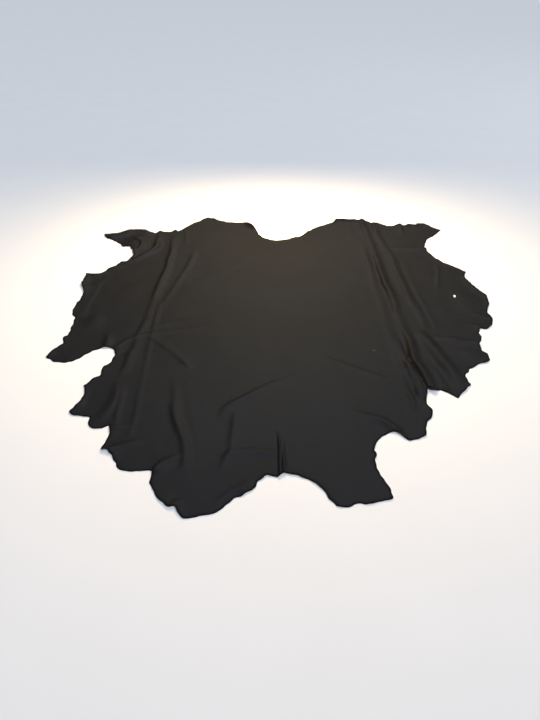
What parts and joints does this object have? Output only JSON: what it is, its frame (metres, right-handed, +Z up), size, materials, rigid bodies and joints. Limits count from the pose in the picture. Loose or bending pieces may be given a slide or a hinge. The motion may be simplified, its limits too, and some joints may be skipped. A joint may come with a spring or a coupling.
{
  "type": "leather hide",
  "caption": "Whole leather hide laid out flat, black and smooth, with ragged leg and belly edges and low soft folds along both flanks.",
  "frame": {"origin": "middle of the bounding box, on the floor that the hide lies on", "axes": "+Y from the neck to the tail, +Z up out of the grain side"},
  "size_m": [2.48, 2.6928, 0.0274],
  "materials": {
    "leather": "smooth fine-grained black leather, matte to satin"
  },
  "bodies": {
    "root": {"hide": "leather"}
  },
  "joints": []
}
